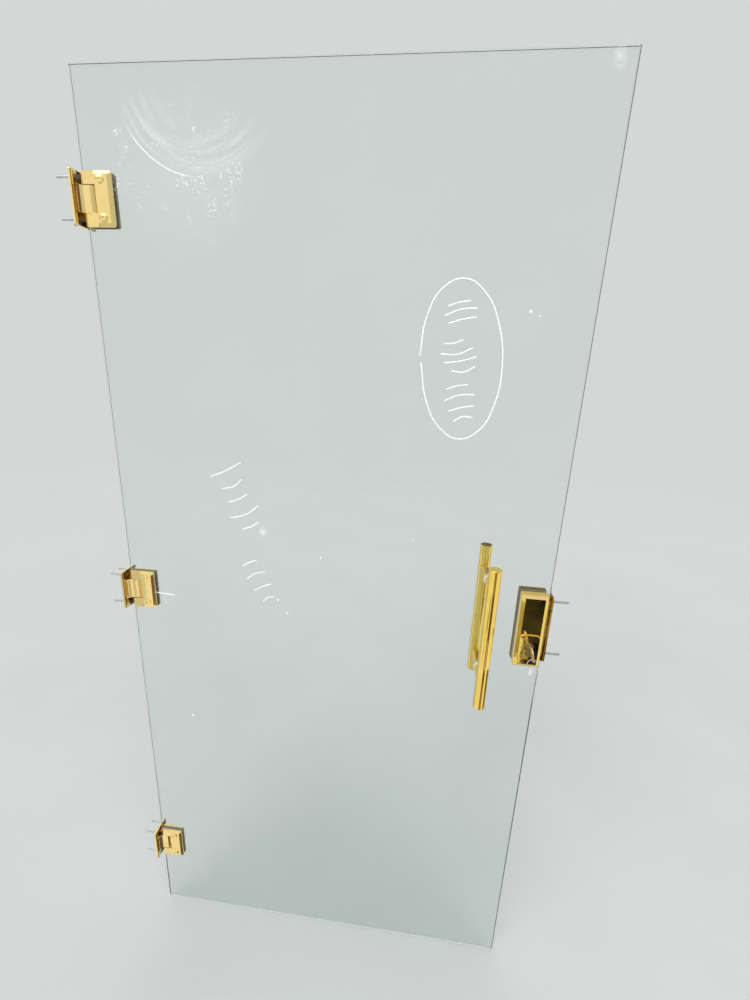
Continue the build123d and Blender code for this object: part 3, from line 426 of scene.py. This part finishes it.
def pale_floor():
    """A pale floor that fades into the backdrop far away."""
    material, tree, output = fresh_material("pale floor")
    place = place_on_piece(tree)
    tone = colours(tree, noise(tree, place, 1.5, 3), (0.3, backdrop), (0.7, (0.695, 0.71, 0.70)))
    shader = principled(tree, tone, 0.6)
    shader.inputs["Specular IOR Level"].default_value = 0.0
    length = tree.nodes.new("ShaderNodeVectorMath")
    length.operation = "LENGTH"
    tree.links.new(place, length.inputs[0])
    fade = tree.nodes.new("ShaderNodeMixShader")
    open_air = tree.nodes.new("ShaderNodeBsdfTransparent")
    tree.links.new(between(tree, length.outputs["Value"], *floor_fade), fade.inputs["Fac"])
    tree.links.new(shader.outputs["BSDF"], fade.inputs[1])
    tree.links.new(open_air.outputs["BSDF"], fade.inputs[2])
    tree.links.new(fade.outputs["Shader"], output.inputs["Surface"])
    return material


bpy.ops.mesh.primitive_circle_add(
    vertices=96, radius=floor_radius, fill_type="NGON", location=(0, 0, -floor_gap)
)
floor = bpy.context.object
floor.name = "floor"
floor.data.materials.append(pale_floor())


def painted_reflection_glow(name, dark, light, scale):
    """A glowing board, no lamp, whose colour shows only as a painted reflection in polished metal: not in the glass,
    and not in anything seen through it.
    """
    material, tree, output = fresh_material(name)
    shader = tree.nodes.new("ShaderNodeEmission")
    tone = colours(tree, noise(tree, place_on_piece(tree), scale, 3), (0.35, dark), (0.65, light))
    tree.links.new(tone, shader.inputs["Color"])
    rays = tree.nodes.new("ShaderNodeLightPath")
    mirrored = calculate(tree, "GREATER_THAN", rays.outputs["Glossy Depth"], 0.5)
    off_glass = calculate(tree, "MULTIPLY", rays.outputs["Is Glossy Ray"], rays.outputs["Is Singular Ray"])
    mirrored = calculate(tree, "MULTIPLY", mirrored, calculate(tree, "SUBTRACT", 1, off_glass))
    mix = tree.nodes.new("ShaderNodeMixShader")
    open_air = tree.nodes.new("ShaderNodeBsdfTransparent")
    tree.links.new(mirrored, mix.inputs["Fac"])
    tree.links.new(open_air.outputs["BSDF"], mix.inputs[1])
    tree.links.new(shader.outputs["Emission"], mix.inputs[2])
    tree.links.new(mix.outputs["Shader"], output.inputs["Surface"])
    return material


def stand_reflector(board, finish):
    """Give a board its glow for painted reflections and hide it from all but mirrored rays."""
    board.data.materials.append(finish)
    board.visible_camera = False
    board.visible_diffuse = False
    board.visible_shadow = False


def bent_screen(name, finish, turns, heights, reach):
    """A screen bent round the pull handle, between two turns from the front and two heights."""
    low, high = heights
    bpy.ops.mesh.primitive_cylinder_add(
        vertices=screen_facets, radius=reach, depth=high - low, end_fill_type="NOTHING",
        location=(*screen_centre, (low + high) / 2),
    )
    screen = bpy.context.object
    screen.name = name
    bpy.context.tool_settings.mesh_select_mode = (False, False, True)
    for face in screen.data.polygons:
        turn = math.degrees(math.atan2(face.center.x, -face.center.y))
        face.select = not turns[0] <= turn <= turns[1]
    bpy.ops.object.mode_set(mode="EDIT")
    bpy.ops.mesh.delete(type="FACE")
    bpy.ops.object.mode_set(mode="OBJECT")
    stand_reflector(screen, finish)


def flat_board(name, finish, place, width, height, turn):
    """A flat board of a given width and height, turned from lying flat."""
    bpy.ops.mesh.primitive_plane_add(size=1, location=place, rotation=[math.radians(angle) for angle in turn])
    board = bpy.context.object
    board.name = name
    board.scale = (width, height, 1)
    stand_reflector(board, finish)


# Painted reflections for the polished metal, from glowing boards that are no lamps: screens round the pull handle,
# and flat boards
screen_centre = (0.36, -0.07)
screen_reach = 1.0
screen_top = 1.35
patch_reach = 0.985
screen_facets = 180
ceiling_height = 3.2
board_lift = 0.001
# The white, bright and cream glows paint highlights, and the dull, brown, warm brown, black and grey-brown glows
# paint shade into the metal's reflections
white_board = painted_reflection_glow("white reflector", (0.93, 0.93, 0.90), (0.98, 0.98, 0.95), 2)
bright_board = painted_reflection_glow("bright reflector", (2.10, 2.15, 2.50), (2.30, 2.35, 2.70), 2)
cream_board = painted_reflection_glow("cream reflector", (0.84, 0.87, 1.55), (0.90, 0.93, 1.70), 2)
dull_board = painted_reflection_glow("dull reflector", (0.36, 0.34, 0.22), (0.48, 0.45, 0.30), 3)
brown_board = painted_reflection_glow("brown reflector", (0.11, 0.075, 0.05), (0.22, 0.15, 0.10), 5)
handle_board = painted_reflection_glow("warm brown reflector", (0.27, 0.205, 0.11), (0.40, 0.32, 0.19), 4)
black_board = painted_reflection_glow("black reflector", (0.006, 0.006, 0.008), (0.065, 0.060, 0.055), 9)
rear_board = painted_reflection_glow("grey-brown reflector", (0.10, 0.10, 0.075), (0.22, 0.21, 0.16), 4)

for name, finish, turns, heights, reach in (
    # Round the handle: painted white reflection on both sides of a brown screen that paints a stripe of shade
    ("left_far_screen", white_board, (-116, -83), (0.0, screen_top), screen_reach),
    ("left_low_screen", white_board, (-83, -77.5), (0.0, 0.78), screen_reach),
    ("left_white_screen", white_board, (-77.5, -9), (0.0, screen_top), screen_reach),
    ("handle_brown_screen", handle_board, (-9, 33), (0.0, screen_top), screen_reach),
    ("right_white_screen", white_board, (33, 115), (0.22, screen_top), screen_reach),
    ("right_low_white_screen", white_board, (33, 69), (0.0, 0.22), screen_reach),
    ("right_low_brown_screen", brown_board, (69, 115), (0.0, 0.22), screen_reach),
    # Before them: patches that paint reflections into the lock's bevel, the middle hinge's bevel, the lock's panel
    # and its guard plate: white for painted highlights, dull, brown and black for painted shade
    ("lock_bevel_patch", dull_board, (-48, -42), (0.26, 0.54), patch_reach),
    ("middle_bevel_patch", brown_board, (-34, -24), (0.45, 0.62), patch_reach),
    ("lock_panel_patch", black_board, (9, 27), (0.385, 0.62), patch_reach),
    ("guard_left_patch", white_board, (11, 21), (0.235, 0.385), patch_reach),
    ("guard_low_patch", black_board, (11, 21), (0.16, 0.235), patch_reach),
    ("guard_right_patch", black_board, (21, 29), (0.16, 0.385), patch_reach),
    # High up, painted shade reflected in the hollows beside the top hinge's knuckle
    ("high_right_screen", brown_board, (20, 115), (1.90, 2.9), screen_reach),
):
    bent_screen(name, finish, turns, heights, reach)

# Flat boards: the ceiling, left and white floor boards paint highlights, the brown floor board paints the shade
# beside the door into reflections, and the grey-brown rear board paints a dark reflection behind the door
for name, finish, place, width, height, turn in (
    ("ceiling_board", bright_board, (0, -1.1, ceiling_height), 6.0, 1.8, (0, 0, 0)),
    ("ceiling_board_front", cream_board, (1.5, -3.2, ceiling_height), 1.8, 1.2, (0, 0, 0)),
    ("left_high_board", white_board, (-1.7, -1.8, 2.45), 2.6, 1.9, (90, 0, -43)),
    ("floor_white_board", white_board, (-0.80, -0.35, board_lift), 0.70, 1.1, (0, 0, 0)),
    ("floor_brown_board", brown_board, (-0.10, -0.05, board_lift), 0.66, 0.60, (0, 0, 0)),
    ("rear_board", rear_board, (0.6, 1.3, 1.3), 1.4, 2.6, (90, 0, 0)),
):
    flat_board(name, finish, place, width, height, turn)


def soft_sun(name, place, strength):
    """A wide, soft lamp, shining from a place towards the door."""
    bpy.ops.object.light_add(type="SUN", location=place)
    lamp = bpy.context.object
    lamp.name = name
    lamp.data.energy = strength
    lamp.data.angle = math.radians(lamp_spread)
    lamp.visible_glossy = False
    lamp.visible_transmission = False
    lamp.rotation_euler = (door_middle - Vector(place)).to_track_quat("-Z", "Y").to_euler()


soft_sun("left soft lamp", (-2.2, -3.2, 2.7), 1.95)
soft_sun("right soft lamp", (2.6, -3.0, 2.5), 0.85)
soft_sun("rear soft lamp", (-1.2, 3.0, 3.0), 1.00)

# The room lights the door, and a plain backdrop stands behind it and in its mirrored and clear parts
world = bpy.data.worlds.new("pale room")
bpy.context.scene.world = world
world.use_nodes = True
sky = world.node_tree
sky.nodes.clear()
lit = sky.nodes.new("ShaderNodeBackground")
lit.inputs["Color"].default_value = (*daylight, 1)
lit.inputs["Strength"].default_value = daylight_strength
shown = sky.nodes.new("ShaderNodeBackground")
shown.inputs["Color"].default_value = (*backdrop, 1)
shown.inputs["Strength"].default_value = 1.0
path = sky.nodes.new("ShaderNodeLightPath")
seen = calculate(sky, "MAXIMUM", path.outputs["Is Camera Ray"], path.outputs["Is Glossy Ray"])
seen = calculate(sky, "MAXIMUM", seen, path.outputs["Is Transmission Ray"])
sky_mix = sky.nodes.new("ShaderNodeMixShader")
sky.links.new(seen, sky_mix.inputs["Fac"])
sky.links.new(lit.outputs["Background"], sky_mix.inputs[1])
sky.links.new(shown.outputs["Background"], sky_mix.inputs[2])
sky_output = sky.nodes.new("ShaderNodeOutputWorld")
sky.links.new(sky_mix.outputs["Shader"], sky_output.inputs["Surface"])

# Camera
bpy.ops.object.camera_add(location=camera_place, rotation=[math.radians(angle) for angle in camera_turn])
camera = bpy.context.object
camera.data.type = "PERSP"
camera.data.sensor_width = sensor_width
camera.data.lens = sensor_width * focal_length_px / frame_height_px
camera.data.clip_start = 0.01
bpy.context.scene.camera = camera
bpy.context.scene.view_settings.view_transform = "Standard"
